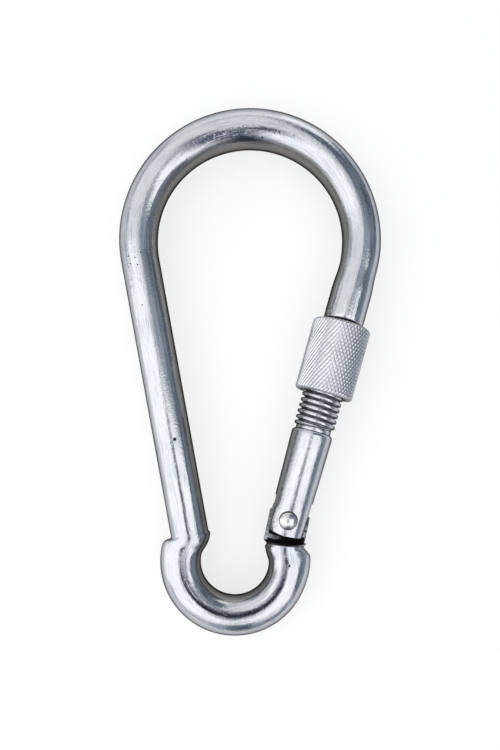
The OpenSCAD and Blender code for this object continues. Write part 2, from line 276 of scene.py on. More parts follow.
def hook_rings():
    rings = []
    # nose: its end face is an arc round the hinge, with a small rounded rim (share of the ring, lift in mm)
    face = ((0.004, 0), (0.3, 0), (0.6, 0), (0.85, 0), (0.94, 0), (0.966, 0.06), (0.987, 0.2), (1, 0.45))
    centre = AXIS_FOOT + (NOSE_REACH + 1) * GATE_DIR
    first = cast(centre, GATE_DIR)
    for share, lift in face:
        ring = shrunk(first, centre, share)
        x = (ring[:, :2] - HINGE) @ GATE_SIDE
        y = np.sqrt(NOSE_REACH ** 2 - x ** 2) + lift
        flat = HINGE + x[:, None] * GATE_SIDE + y[:, None] * GATE_DIR
        rings.append(np.column_stack([flat, ring[:, 2]]))
    for t in np.arange(NOSE_REACH + 1.4, LEG_REACH, 1.2):
        rings.append(cast(AXIS_FOOT + t * GATE_DIR, GATE_DIR))
    for a in np.linspace(-GATE_LEAN, math.pi + SPINE_LEAN, 136):
        rings.append(cast(on_arc(BOW, BOW_R, a), arc_tangent(a)))
    length = np.linalg.norm(SPINE_FOOT - SPINE_TOP)
    close_to_step = length - np.array([1.2, 0.9, 0.65, 0.45, 0.3, 0.2])
    for t in np.concatenate([np.arange(1.4, length - 1.6, 1.4), close_to_step]):
        rings.append(cast(SPINE_TOP + t * SPINE_DIR, SPINE_DIR))
    # the step's face, its rounding and the swing of the ring planes to the eye's own
    rim = cast(SPINE_FOOT + 0.06 * SPINE_DIR, SPINE_DIR)
    rings += blended(rings[-1], rim, 5) + [rim]
    a0, a1 = math.pi - SPINE_TURN, math.radians(182)
    for s in (0.02, 0.05, 0.09, 0.14, 0.2, 0.27, 0.35, 0.44, 0.54, 0.65, 0.76, 0.88, 1.0):
        a = a0 + (a1 - a0) * s
        lean = smooth_step(np.array(s))
        n = SPINE_DIR * (1 - lean) + arc_tangent(a) * lean
        rings.append(cast(on_arc(EYE, EYE_R - 1 + min(s * 2, 1), a), n / np.linalg.norm(n)))
    # between these two the ring planes are the eye's own
    a2 = math.radians(352)
    for a in np.linspace(a1, a2, 84)[1:]:
        rings.append(cast(on_arc(EYE, EYE_R, a), arc_tangent(a)))
    # the ring planes swing back to the neck's own
    a3 = 2 * math.pi + math.radians(14.4)
    for s in (0.12, 0.24, 0.36, 0.48, 0.59, 0.69, 0.77, 0.84, 0.89, 0.93, 0.96, 0.985):
        a = a2 + (a3 - a2) * s
        lean = smooth_step(np.array(s))
        n = arc_tangent(a) * (1 - lean) - NECK_DIR * lean
        rings.append(cast(on_arc(EYE, EYE_R - 0.9 * s, a), n / np.linalg.norm(n)))
    for t in (NECK_FOOT - 0.15, NECK_FOOT - 0.35, NECK_FOOT - 0.6, NECK_FOOT - 0.9, FLANGE_FOOT + 0.05):
        rings.append(cast(HINGE + t * NECK_DIR, -NECK_DIR))
    # the flange's rim, rounded on both sides, and its face
    th = ring_turns(AROUND)
    side = np.array([-NECK_DIR[1], NECK_DIR[0]])
    for t, r in ((8.6, 6.62), (8.4, 6.86), (8.28, 7.0), (8.18, 7.08), (8.05, FLANGE_R), (7.97, 7.07),
                 (SHOULDER, 6.98), (SHOULDER, 6.2), (SHOULDER, 4), (SHOULDER, 0.03)):
        flat = HINGE + t * NECK_DIR + r * np.cos(th)[:, None] * side
        rings.append(np.column_stack([flat, MID_Z + r * np.sin(th)]))
    return np.array(rings)


def gate_place(x, y, z):
    """From the closed gate's own frame, with the hinge at its origin, to the row frame."""
    x, y = np.asarray(x, float), np.asarray(y, float)
    flat = HINGE + x[..., None] * GATE_SIDE + y[..., None] * GATE_DIR
    return np.concatenate([flat, (MID_Z + np.asarray(z, float))[..., None]], -1)


def prism(name, outline, z0, z1):
    """An upright prism in the gate's frame from a list of corners."""
    n = len(outline)
    o = np.array(outline)
    verts = np.concatenate([gate_place(o[:, 0], o[:, 1], np.full(n, z)) for z in (z0, z1)])
    faces = [tuple(range(n))[::-1], tuple(range(n, 2 * n))]
    faces += [(i, (i + 1) % n, (i + 1) % n + n, i + n) for i in range(n)]
    return make_mesh(name, verts, faces)


def arc_band(r0, r1, a0, a1, steps=24):
    """Corners of a band between two arcs round the hinge; angles from the gate's line, to the inner side."""
    a = np.linspace(a0, a1, steps)
    outer = [(-r1 * math.sin(t), r1 * math.cos(t)) for t in a]
    inner = [(-r0 * math.sin(t), r0 * math.cos(t)) for t in a[::-1]]
    return outer + inner


LATCH_NECK_H, LATCH_HEAD_H, LATCH_OUT, LATCH_SWEEP = 1.6, 1.5, 3.2, math.radians(10)
LATCH_NECK_HALF, LATCH_HEAD_HALF, SLOT_GAP = 1.7, 4.5, 0.18


def latch_bands(gap):
    """The neck and the head of the latch, grown by a gap: (outline, half of its height)."""
    head_foot = TIP_REACH + LATCH_NECK_H
    stop = -math.asin((INSET + LATCH_OUT + gap) / head_foot)
    sweep = LATCH_SWEEP + stop
    neck = (arc_band(TIP_REACH - 1, head_foot + 1, stop, sweep), LATCH_NECK_HALF + gap)
    head = (arc_band(head_foot - gap, head_foot + LATCH_HEAD_H + gap, stop, sweep), LATCH_HEAD_HALF + gap)
    return neck, head


def revolved(profile, around):
    """Rings about the gate's line from a list of (radius or radii, place along it)."""
    th = ring_turns(around)
    rings = [gate_place(INSET + r * np.cos(th), np.full(around, y), r * np.sin(th)) for r, y in profile]
    return np.array(rings)


def hinge_cylinder(name, r, z0, z1, around=64):
    """An upright cylinder on the hinge's axis."""
    angles = 2 * math.pi * np.arange(around) / around
    return prism(name, [(r * math.cos(t), r * math.sin(t)) for t in angles], z0, z1)


def along_gate(name, r, y0, y1, around=96):
    """A cylinder on the gate's own middle line."""
    return tube(name, revolved([(r, y0), (r, y1)], around), [0, y1 - y0], 2 * math.pi * r)


# ---------------------------------------------------------------- hook
CAM_R, CAM_OFFSET, TONGUE_T, TONGUE_LEAN = 5.5, 0.8, 5.0, math.radians(12)
TONGUE_HALF_W, TONGUE_RISE, RIVET_HOLE_R = 6.85, 2.2, 2.12


def tongue_point(x, y):
    turn = GATE_LEAN - TONGUE_LEAN
    return INSET + x * math.cos(turn) - y * math.sin(turn), x * math.sin(turn) + y * math.cos(turn)


def tongue():
    """The flat blade between the cheeks of the fork, with the cam that the plunger presses on."""
    cam_at = math.radians(165)
    cam = CAM_OFFSET * np.array([math.cos(cam_at), math.sin(cam_at)])
    foot = -SHOULDER - 0.7
    outline = [tongue_point(-TONGUE_HALF_W, TONGUE_RISE), tongue_point(-TONGUE_HALF_W, foot)]
    outline += [tongue_point(TONGUE_HALF_W, foot), tongue_point(TONGUE_HALF_W, TONGUE_RISE)]
    outline += [tuple(cam + CAM_R * np.array([math.cos(t), math.sin(t)]))
                for t in np.radians(np.linspace(27, 158, 40))]
    blade = prism("tongue", outline, -TONGUE_T / 2, TONGUE_T / 2)
    bevelled(blade, 0.25, 40)
    cut(blade, hinge_cylinder("rivet_hole", RIVET_HOLE_R, -4, 4))
    return blade


def hook_piece():
    rings = hook_rings()
    hook = tube("hook_forging", rings, ring_lengths(rings), HOOK_GIRTH, sharp_deg=40)
    for i, (band, half) in enumerate(latch_bands(SLOT_GAP)):
        cut(hook, prism(f"slot_{i}", band, -half, half))
    cut(hook, tongue(), "UNION")
    smoothed(hook, 40)
    return hook


# ---------------------------------------------------------------- gate
PITCH, CREST, ROOT, THREAD_FOOT = 2.0, 7.0, 5.9, 31.9
BARREL_FOOT_R, BARREL_R, BARREL_LEN, END_DROP = 6.45, 7.1, 31.2, 5.2
FORK_DEPTH, FORK_HALF_T, BORE_R, BORE_END = 7.2, 2.7, 2.5, 34
RIVET_SEAT, RIVET_SEAT_R = 5.7, 3.2


def thread_rings(around=112, step=0.2):
    """A helical thread, which runs in from the relief groove and out at the tip."""
    th = ring_turns(around)
    rings = []
    for y in np.arange(THREAD_FOOT, TIP_REACH + 0.01, step):
        phase = (y / PITCH - th / (2 * math.pi)) % 1.0
        from_crest = 0.5 - np.abs(phase - 0.5)
        tooth = 1 - 0.08 * np.clip(from_crest / 0.2, 0, 1) ** 2 - 0.92 * smooth_step((from_crest - 0.22) / 0.24)
        run_in = smooth_step((y - THREAD_FOOT - 0.25 * (1 + np.cos(th))) / 0.7)
        run_out = np.clip(TIP_REACH - y, 0, 1)
        root = ROOT + 0.2 * smooth_step((THREAD_FOOT + 0.8 - y) / 0.8)
        r = root + (CREST - root) * tooth * run_in * (0.35 + 0.65 * run_out)
        x = INSET + r * np.cos(th)
        reach = np.minimum(np.full(around, y), np.sqrt(TIP_REACH ** 2 - x ** 2))
        rings.append(gate_place(x, reach, r * np.sin(th)))
    return rings


def pressed(ring):
    """The barrel's foot as the rivet's press left it: dished round the rivet, the inner cheek pushed out."""
    x, y = (ring[:, :2] - HINGE) @ GATE_SIDE, (ring[:, :2] - HINGE) @ GATE_DIR
    z = ring[:, 2] - MID_Z
    dish = smooth_step(1 - np.hypot(x, y) / 6.0)
    inner = smooth_step((-x - 3.5) / 2.5)
    pushed = 0.4 * smooth_step((4.6 - y) / 1.8) * smooth_step((y + 4.6) / 2)
    pushed = pushed - 0.3 * smooth_step((-3.4 - y) / 1.6)
    # the end is an arc, lowest in its middle and flatter on the outer side
    end = smooth_step((-y - 1.5) / 3.5) * (np.where(x < INSET, 0.024, 0.013) * (x - INSET) ** 2 - 0.35)
    return gate_place(x - pushed * inner, y + end, z * (1 - 0.05 * dish))


def gate_rings(around=112):
    """The tapered barrel with its rounded ends, the relief groove, the thread and the tip's face."""
    foot, neck_r = -END_DROP, ROOT + 0.15
    profile = [(0.03, foot), (3, foot), (5.4, foot), (5.95, foot)]
    profile += [(BARREL_FOOT_R - 0.5 * (1 - math.sin(a)), foot + 0.5 * (1 - math.cos(a)))
                for a in np.linspace(0.15, math.pi / 2, 6)]
    taper = BARREL_LEN - 1.5 - foot - 0.5
    profile += [(BARREL_FOOT_R + (BARREL_R - BARREL_FOOT_R) * t, foot + 0.5 + taper * t)
                for t in np.linspace(0, 1, 40)[1:]]
    profile += [(BARREL_R - 1.35 * (1 - math.cos(a)), BARREL_LEN - 1.5 + 1.5 * math.sin(a))
                for a in np.radians(np.linspace(10, 90, 9))]
    profile += [(neck_r - 0.02, BARREL_LEN + 0.03), (neck_r, BARREL_LEN + 0.25),
                (neck_r + 0.05, BARREL_LEN + 0.6)]
    rings = [pressed(ring) for ring in revolved(profile, around)] + thread_rings(around)
    last = rings[-1]
    centre = gate_place(INSET, TIP_REACH, 0)
    for share in (0.9, 0.6, 0.3, 0.01):
        ring = centre + (last - centre) * share
        x = (ring[:, :2] - HINGE) @ GATE_SIDE
        rings.append(gate_place(x, np.sqrt(TIP_REACH ** 2 - x ** 2), ring[:, 2] - MID_Z))
    return np.array(rings)


def gate_piece():
    rings = gate_rings()
    gate = tube("gate_barrel", rings, ring_lengths(rings), GATE_GIRTH, sharp_deg=38)
    slot = [(-9, -6.5), (10, -6.5), (10, FORK_DEPTH), (-9, FORK_DEPTH)]
    cut(gate, prism("fork_slot", slot, -FORK_HALF_T, FORK_HALF_T))
    cut(gate, hinge_cylinder("seat_top", RIVET_SEAT_R, RIVET_SEAT, 9))
    cut(gate, hinge_cylinder("seat_low", RIVET_SEAT_R, -9, -RIVET_SEAT))
    cut(gate, along_gate("spring_bore", BORE_R, FORK_DEPTH - 1.2, BORE_END, 48))
    # the T-shaped head, which swings into the slot of the nose
    for i, (band, half) in enumerate(latch_bands(0)):
        arm = prism(f"latch_{i}", band, -half, half)
        cut(arm, along_gate("leg_round", LEG_R - 0.02, 60, 80), "INTERSECT")
        cut(gate, arm, "UNION")
    smoothed(gate, 38)
    return gate


# ---------------------------------------------------------------- rivet
RIVET_HEAD_R, RIVET_HEAD_H, RIVET_RIM, RIVET_PIN_R = 3.0, 1.7, 0.4, 2.1


def rivet_piece(around=72):
    """The pin with its two low domes, as one revolved solid on the hinge's axis."""
    dome_h = RIVET_HEAD_H - RIVET_RIM
    ball = (RIVET_HEAD_R ** 2 + dome_h ** 2) / (2 * dome_h)
    edge = math.asin(RIVET_HEAD_R / ball)
    side = [(ball * math.sin(a), RIVET_HEAD_H - ball * (1 - math.cos(a)))
            for a in np.linspace(0.01, edge * 0.97, 18)]
    side += [(RIVET_HEAD_R - 0.02, RIVET_RIM + 0.02), (RIVET_HEAD_R, RIVET_RIM - 0.05), (RIVET_HEAD_R, 0.1)]
    side += [(RIVET_HEAD_R - 0.03, 0.02), (2.6, 0), (RIVET_PIN_R, 0)]
    side = [(r, RIVET_SEAT + h) for r, h in side]
    th = 2 * math.pi * np.arange(around) / around
    rings = [gate_place(r * np.cos(th), r * np.sin(th), np.full(around, h))
             for r, h in side + [(r, -h) for r, h in side[::-1]]]
    rings = np.array(rings)
    return tube("hinge_rivet_heads", rings, ring_lengths(rings), RIVET_GIRTH, sharp_deg=30)


# ---------------------------------------------------------------- sleeve
SLEEVE_R, SLEEVE_FOOT, SLEEVE_TOP, STARTS = 10.0, 44.3, 68.9, 48
SLEEVE_BORE_R, MOUTH_R, MOUTH_LEN, SLEEVE_BEVEL = 7.06, 7.12, 9.5, 0.55
KNURL_LEAN, KNURL_DEPTH, KNURL_STEP = math.radians(30), 0.42, 0.15


def knurl_depth(th, y):
    """Depth of the crossed grooves. Those of one hand are deep all round, the others on the outer side."""
    turns = th * STARTS / (2 * math.pi)
    rise = y * math.tan(KNURL_LEAN) * STARTS / (2 * math.pi * SLEEVE_R)
    deep = np.abs((turns + rise) % 1.0 * 2 - 1)
    light = np.abs((turns - rise) % 1.0 * 2 - 1)
    outer = smooth_step(0.45 + 0.75 * np.cos(th - math.radians(25)))
    # the rollers were pressed in unevenly
    press = 0.86 + 0.14 * np.sin(2 * th + 0.31 * y) * np.sin(0.23 * y - th)
    return press * np.maximum(KNURL_DEPTH * np.clip((deep - 0.3) / 0.7, 0, 1),
                              (0.05 + 0.16 * outer) * np.clip((light - 0.35) / 0.65, 0, 1))


def sleeve_piece(around=STARTS * 9):
    """The knurled nut with its bore, and the wider mouth that slides over the nose."""
    th = ring_turns(around)
    shelf = SLEEVE_TOP - MOUTH_LEN
    profile = [(SLEEVE_BORE_R, shelf), (SLEEVE_BORE_R, 52), (SLEEVE_BORE_R, SLEEVE_FOOT + 0.6),
               (SLEEVE_BORE_R + 0.6, SLEEVE_FOOT), (8.4, SLEEVE_FOOT), (9.1, SLEEVE_FOOT)]
    for y in np.arange(SLEEVE_FOOT, SLEEVE_TOP + 0.001, KNURL_STEP):
        edge = min(y - SLEEVE_FOOT, SLEEVE_TOP - y)
        body = SLEEVE_R - SLEEVE_BEVEL * (1 - smooth_step(edge / 0.75) ** 0.7)
        fade = 0.7 + 0.3 * smooth_step(edge / 0.5)
        profile.append((body - knurl_depth(th, y - SLEEVE_FOOT) * fade, y))
    profile += [(9.1, SLEEVE_TOP), (8.4, SLEEVE_TOP), (MOUTH_R + 0.2, SLEEVE_TOP),
                (MOUTH_R, SLEEVE_TOP - 0.2), (MOUTH_R, shelf + 1), (MOUTH_R, shelf)]
    rings = revolved(profile + profile[:1], around)
    return tube("knurled_sleeve", rings, ring_lengths(rings), SLEEVE_GIRTH, sharp_deg=60, caps=False)


hook = hook_piece()
gate = gate_piece()
rivet = rivet_piece()
sleeve = sleeve_piece()


# ---------------------------------------------------------------- materials

class Nodes:
    """A short way to lay out a material's nodes."""

    def __init__(self, name):
        self.material = bpy.data.materials.new(name)
        self.material.use_nodes = True
        self.tree = self.material.node_tree
        self.shader = self.tree.nodes["Principled BSDF"]
        self.place = self.tree.nodes.new("ShaderNodeTexCoord").outputs["Object"]

    def add(self, kind, inputs=None, **settings):
        node = self.tree.nodes.new("ShaderNode" + kind)
        for key, value in settings.items():
            setattr(node, key, value)
        for key, value in (inputs or {}).items():
            self.put(value, node.inputs[key])
        return node.outputs[0]

    def put(self, value, socket):
        if isinstance(value, bpy.types.NodeSocket):
            self.tree.links.new(value, socket)
        else:
            socket.default_value = value

    def maths(self, operation, a, b=0.0, c=0.0, clamp=False):
        return self.add("Math", {0: a, 1: b, 2: c}, operation=operation, use_clamp=clamp)

    def ramp(self, value, low, high, to_low=0.0, to_high=1.0):
        return self.add("MapRange", {"Value": value, "From Min": low, "From Max": high,
                                     "To Min": to_low, "To Max": to_high}, interpolation_type="SMOOTHSTEP")

    def mapped(self, where, scale, turn=0.0):
        return self.add("Mapping", {"Vector": where, "Scale": scale, "Rotation": (0, 0, turn)})

    def noise(self, where, scale, detail=3.0, rough=0.5):
        return self.add("TexNoise", {"Vector": where, "Scale": scale, "Detail": detail, "Roughness": rough})

    def blend(self, factor, a, b):
        node = self.tree.nodes.new("ShaderNodeMix")
        node.data_type = "RGBA"
        for value, socket in ((factor, node.inputs[0]), (a, node.inputs[6]), (b, node.inputs[7])):
            self.put(value, socket)
        return node.outputs[2]

    def offset(self, origin, direction):
        """How far a point lies past an origin, in metres, along a direction; both in the row frame."""
        rel = self.add("VectorMath", {0: self.place, 1: origin}, operation="SUBTRACT")
        self.add("VectorMath", {0: rel, 1: direction}, operation="DOT_PRODUCT")
        return self.tree.nodes[-1].outputs["Value"]

    def near(self, point, radius):
        """1 at a point in the row frame and 0 past a radius, in metres."""
        self.add("VectorMath", {0: self.place, 1: point}, operation="DISTANCE")
        return self.ramp(self.tree.nodes[-1].outputs["Value"], radius, radius * 0.45)


EDGE_TINT = (0.05, 0.042, 0.035)    # what the metal mirrors at a grazing angle
BLACK = (0.010, 0.010, 0.012, 1)
# black painted as shade in gaps, seams and grooves
SHADE_BLACK = (0.006, 0.006, 0.007, 1)
# blue-black painted as a reflection of the tent's dark parts
REFLECTION_NAVY = (0.022, 0.03, 0.06, 1)
STREAK_GREY, BAND_GREY = (0.13, 0.15, 0.20, 1), (0.2, 0.22, 0.27, 1)
# the second grey below is painted shade on the inner side of the bars
SCRATCH_GREY, INNER_SHADE_GREY = (0.2, 0.2, 0.2, 1), (0.15, 0.142, 0.13, 1)
INNER_V = 0.315    # three quarters of the way round a bar, in the UV map


def steel(name, colour, rough, streaks=1.0, scratches=1.0, waves=1.0, peel=1.0, marks_at=(), painted_shade=None,
          inner_shade=0.0, painted_reflection=None):
    """Bright zinc plate: drawn streaks, slow waves, a fine orange peel, scratches each way and pits.

    marks_at lists (point in mm, radius in mm) of the larger pits. The shade argument is a function that, given
    the nodes, returns the mask of an area painted black as shade. The inner-side argument is how strongly the
    side toward the opening is painted darker, as shade. The reflection argument is such a function too, for the
    places painted blue-black as a reflection along the streaks.
    """
    m = Nodes(name)
    along = m.add("UVMap", uv_map="along")
    streak = m.noise(m.mapped(along, (12, 300, 1)), 1.0, 4, 0.65)
    band = m.noise(m.mapped(along, (4, 80, 1)), 1.0, 2, 0.5)
    wave = m.noise(m.mapped(along, (9, 22, 1)), 1.0, 1, 0.4)
    grit = m.noise(m.place, 1300, 3, 0.6)
    cloud = m.noise(m.place, 90, 4, 0.6)
    # scratches: thin crests of stretched noise, broken up by a coarse mask
    marks = 0.0
    for turn, stretch, cover in ((0.25, (9, 420, 1), 0.64), (-0.5, (14, 380, 1), 0.66),
                                 (1.25, (16, 460, 1), 0.68)):
        crest = m.ramp(m.noise(m.mapped(along, stretch, turn), 1.0, 1, 0.4), cover, cover + 0.03)
        mask = m.ramp(m.noise(m.mapped(along, (11, 13, 1), turn), 1.0, 1), 0.5, 0.6)
        marks = m.maths("MAXIMUM", m.maths("MULTIPLY", crest, mask), marks)
    marks = m.maths("MULTIPLY", marks, scratches)
    # pits: the hearts of a few sparse cells, and the larger ones at their places
    chance = m.ramp(m.noise(m.place, 120, 1), 0.66, 0.7)
    cells = m.add("TexVoronoi", {"Vector": m.place, "Scale": 260.0})
    pit = m.maths("MULTIPLY", m.ramp(cells, 0.14, 0.05), chance)
    for point, radius in marks_at:
        pit = m.maths("MAXIMUM", pit, m.near(tuple(np.array(point) * MM), radius * MM))
    clouded = (colour[0] * 0.9, colour[1] * 0.92, colour[2] * 0.95, 1)
    tint = m.blend(m.ramp(cloud, 0.35, 0.7), (*colour, 1), clouded)
    tint = m.blend(m.maths("MULTIPLY", m.ramp(streak, 0.55, 0.72), 0.6 * streaks), tint, STREAK_GREY)
    tint = m.blend(m.maths("MULTIPLY", m.ramp(band, 0.54, 0.75), 0.35 * streaks), tint, BAND_GREY)
    tint = m.blend(m.maths("MULTIPLY", marks, 0.4), tint, SCRATCH_GREY)
    # the inner side of the bars, painted darker as shade
    m.add("SeparateXYZ", {0: along})
    from_inner = m.maths("ABSOLUTE", m.maths("SUBTRACT", m.tree.nodes[-1].outputs["Y"], INNER_V))
    from_inner = m.maths("ADD", from_inner, m.maths("MULTIPLY_ADD", band, 0.05, -0.025))
    inner_shade_mask = m.maths("MULTIPLY", m.ramp(from_inner, 0.066, 0.03), inner_shade)
    tint = m.blend(inner_shade_mask, tint, INNER_SHADE_GREY)
    # places painted blue-black as a reflection, broken up by the streaks and the peel
    if painted_reflection:
        dark = m.maths("MULTIPLY", m.ramp(streak, 0.3, 0.47), m.ramp(grit, 0.3, 0.5, 0.55, 1.0))
        tint = m.blend(m.maths("MULTIPLY", dark, painted_reflection(m)), tint, REFLECTION_NAVY)
    tint = m.blend(pit, tint, BLACK)
    dull = m.ramp(streak, 0.3, 0.75, rough * (1 - 0.3 * streaks), rough * (1 + 0.5 * streaks))
    dull = m.maths("ADD", dull, m.ramp(cloud, 0.4, 0.8, 0.0, 0.06))
    dull = m.maths("ADD", dull, m.maths("MULTIPLY", marks, 0.2))
    dull = m.maths("ADD", dull, m.maths("MULTIPLY", inner_shade_mask, 0.12))
    dull = m.maths("ADD", dull, m.maths("MULTIPLY", pit, 0.5), clamp=True)
    height = m.maths("MULTIPLY", wave, 0.06 * waves)
    height = m.maths("MULTIPLY_ADD", band, 0.045 * streaks, height)
    height = m.maths("MULTIPLY_ADD", streak, 0.009 * streaks, height)
    height = m.maths("MULTIPLY_ADD", grit, 0.05 * peel, height)
    height = m.maths("MULTIPLY_ADD", marks, -0.006, height)
    height = m.maths("MULTIPLY_ADD", pit, -0.12, height)
    metal = 1.0
    # areas painted black as shade, made matt, non-metal and lightly bumped
    if painted_shade:
        mask = painted_shade(m)
        tint = m.blend(mask, tint, SHADE_BLACK)
        dull = m.maths("MULTIPLY_ADD", mask, 0.3, dull, clamp=True)
        metal = m.maths("SUBTRACT", 1.0, mask)
        shade_bump = m.maths("MULTIPLY", mask, m.noise(m.place, 2600, 3))
        height = m.maths("MULTIPLY_ADD", shade_bump, 0.06, height)
    m.put(tint, m.shader.inputs["Base Color"])
    m.put(dull, m.shader.inputs["Roughness"])
    m.put(metal, m.shader.inputs["Metallic"])
    m.shader.inputs["Specular Tint"].default_value = (*EDGE_TINT, 1)
    m.put(m.add("Bump", {"Height": height, "Distance": MM}), m.shader.inputs["Normal"])
    return m.material


HINGE_AT = (HINGE[0] * MM, HINGE[1] * MM, MID_Z * MM)


def gate_axes(m):
    """The nodes for a point's place in the gate's own frame, in metres."""
    ways = ((GATE_SIDE[0], GATE_SIDE[1], 0), (GATE_DIR[0], GATE_DIR[1], 0), (0, 0, 1))
    return [m.offset(HINGE_AT, way) for way in ways]


def radius_of(m, a, b):
    return m.maths("SQRT", m.maths("MULTIPLY_ADD", a, a, m.maths("MULTIPLY", b, b)))


def joint_painted_shade(m):
    """Painted shade: black along the fork's end, in the gap down to the flange and on the flange's rim, and
    darker on the tongue's faces.
    """
    ragged = m.maths("MULTIPLY_ADD", m.noise(m.place, 1100, 3, 0.6), 0.7 * MM, -0.35 * MM)
    past_fork = m.maths("ADD", m.offset(HINGE_AT, (-GATE_DIR[0], -GATE_DIR[1], 0)), ragged)
    turn = GATE_LEAN - TONGUE_LEAN
    tongue_side = GATE_SIDE * math.cos(turn) + GATE_DIR * math.sin(turn)
    aside = m.maths("ADD", m.offset(HINGE_AT, (tongue_side[0], tongue_side[1], 0)), ragged)
    down = m.maths("ADD", m.offset(HINGE_AT, (NECK_DIR[0], NECK_DIR[1], 0)), ragged)
    aside_neck = m.offset(HINGE_AT, (-NECK_DIR[1], NECK_DIR[0], 0))
    # the stroke on the flange is broader at the inner side and thinner at the outer
    down = m.maths("MULTIPLY_ADD", m.maths("MINIMUM", aside_neck, 0.0), -0.07, down)
    foot = m.maths("MULTIPLY_ADD", m.maths("MAXIMUM", aside_neck, 0.0), 0.11, down)
    left = m.ramp(aside_neck, -1 * MM, -4.5 * MM)
    aside_neck = m.maths("ABSOLUTE", aside_neck)
    # between the strokes some metal shows, at the inner side only
    gap = m.maths("MULTIPLY", m.ramp(past_fork, 6.1 * MM, 6.5 * MM),
                  m.ramp(down, 7.3 * MM, 7.0 * MM, 0.0, 0.4))
    between = m.maths("SUBTRACT", 1.0, m.maths("MULTIPLY", gap, left))
    across = m.maths("MULTIPLY", m.ramp(aside, -5.7 * MM, -5.4 * MM, 0.4, 1.0),
                     m.ramp(aside, 7.2 * MM, 6.9 * MM))
    tongue_end = m.maths("MULTIPLY", m.ramp(past_fork, 4.2 * MM, 4.6 * MM), across)
    flange = m.ramp(down, 7.55 * MM, 7.75 * MM)
    here = m.maths("MULTIPLY", m.ramp(foot, 8.75 * MM, 8.55 * MM), m.ramp(aside_neck, 8.5 * MM, 8.0 * MM))
    mask = m.maths("MULTIPLY", m.maths("MULTIPLY", m.maths("MAXIMUM", tongue_end, flange), here), between)
    # painted shade on the step's slanted facet, and a painted dark spot in the nose's notch beside the latch
    facet = HINGE + 10.6 * NECK_DIR + 5.2 * np.array([-NECK_DIR[1], NECK_DIR[0]])
    facet = m.near((facet[0] * MM, facet[1] * MM, (MID_Z + 3.2) * MM), 3.4 * MM)
    notch_shade = gate_place(-6.3, 70.35, 2.2) * MM
    mask = m.maths("MAXIMUM", mask, m.near(tuple(notch_shade), 1.5 * MM))
    mottle = m.ramp(m.noise(m.place, 900, 4, 0.7), 0.4, 0.6, 0.35, 0.92)
    # the tongue's faces under the fork, and the slanted facet, painted darker as shade and mottled
    face = m.maths("MULTIPLY", m.near(HINGE_AT, 14 * MM), m.ramp(down, 7.6 * MM, 7.2 * MM))
    face = m.maths("MULTIPLY", face, m.ramp(past_fork, 5.6 * MM, 4.8 * MM, 0.65, 1.0))
    face = m.maths("MAXIMUM", m.maths("MULTIPLY", face, 1.6, clamp=True), m.maths("MULTIPLY", facet, 0.7))
    return m.maths("MAXIMUM", mask, m.maths("MULTIPLY", face, mottle), clamp=True)


def gate_painted_shade(m):
    """Painted shade in the seam round the rivet's heads and in the roots of the thread."""
    x, y, z = gate_axes(m)
    seam = m.ramp(radius_of(m, x, y), 3.2 * MM, 3.05 * MM)
    radius = radius_of(m, m.maths("SUBTRACT", x, INSET * MM), z)
    threaded = m.ramp(y, (THREAD_FOOT + 1) * MM, (THREAD_FOOT + 2) * MM)
    root = m.maths("MULTIPLY", m.ramp(radius, 6.15 * MM, 5.95 * MM, 0.0, 0.82), threaded)
    return m.maths("MAXIMUM", seam, root, clamp=True)


def rivet_painted_shade(m):
    """Painted shade on the rims of the rivet's heads, thicker toward the gate's tip."""
    x, y, _ = gate_axes(m)
    return m.ramp(m.maths("MULTIPLY_ADD", y, 0.09, radius_of(m, x, y)), 2.72 * MM, 3.0 * MM, 0.0, 0.9)


def groove_painted_shade(m):
    """Painted shade in the bottoms of the knurling."""
    x, _, z = gate_axes(m)
    radius = radius_of(m, m.maths("SUBTRACT", x, INSET * MM), z)
    outside = m.ramp(radius, 8.0 * MM, 8.6 * MM)
    return m.maths("MULTIPLY", m.ramp(radius, 9.76 * MM, 9.6 * MM, 0.0, 0.4), outside, clamp=True)


def on_spine(down_mm, angle_deg):
    """A point on the spine's skin, a distance below its top and turned from its upper side, in mm."""
    a = math.radians(angle_deg)
    side = np.array([-SPINE_DIR[1], SPINE_DIR[0]])
    flat = SPINE_TOP + SPINE_DIR * down_mm + side * ROD_R * math.sin(a)
    return (flat[0], flat[1], MID_Z + ROD_R * math.cos(a))


def crest_painted_reflection(m):
    """Painted reflection: blue-black along the eye's crest, and toward the inner side at the bow's top."""
    m.add("SeparateXYZ", {0: m.place})
    x, y, z = (m.tree.nodes[-1].outputs[axis] for axis in "XYZ")

    def from_centre(centre):
        dx, dy = m.maths("SUBTRACT", x, centre[0] * MM), m.maths("SUBTRACT", y, centre[1] * MM)
        return dx, dy, radius_of(m, dx, dy)

    _, dy, r = from_centre(EYE)
    off = m.maths("ABSOLUTE", m.maths("SUBTRACT", r, (EYE_R - 1.65) * MM))
    on_eye = m.maths("MULTIPLY", m.ramp(off, 1.6 * MM, 0.5 * MM),
                     m.ramp(dy, 15 * MM, -8 * MM, 0.0, 0.85))
    dx, dy, r = from_centre(BOW)
    middle = m.maths("MULTIPLY_ADD", dx, -0.12, (BOW_R - 4.4) * MM)
    off = m.maths("ABSOLUTE", m.maths("SUBTRACT", r, middle))
    span = m.maths("MULTIPLY", m.ramp(dx, -31 * MM, -15 * MM), m.ramp(dx, 11 * MM, -4 * MM))
    on_bow = m.maths("MULTIPLY", m.maths("MULTIPLY", m.ramp(off, 2.3 * MM, 0.6 * MM), span),
                     m.ramp(dy, 0.0, 9 * MM))
    both = m.maths("MAXIMUM", on_eye, m.maths("MULTIPLY", on_bow, 0.95))
    return m.maths("MULTIPLY", both, m.ramp(z, (MID_Z + 1) * MM, (MID_Z + 3) * MM))


ZINC = (0.56, 0.575, 0.60)
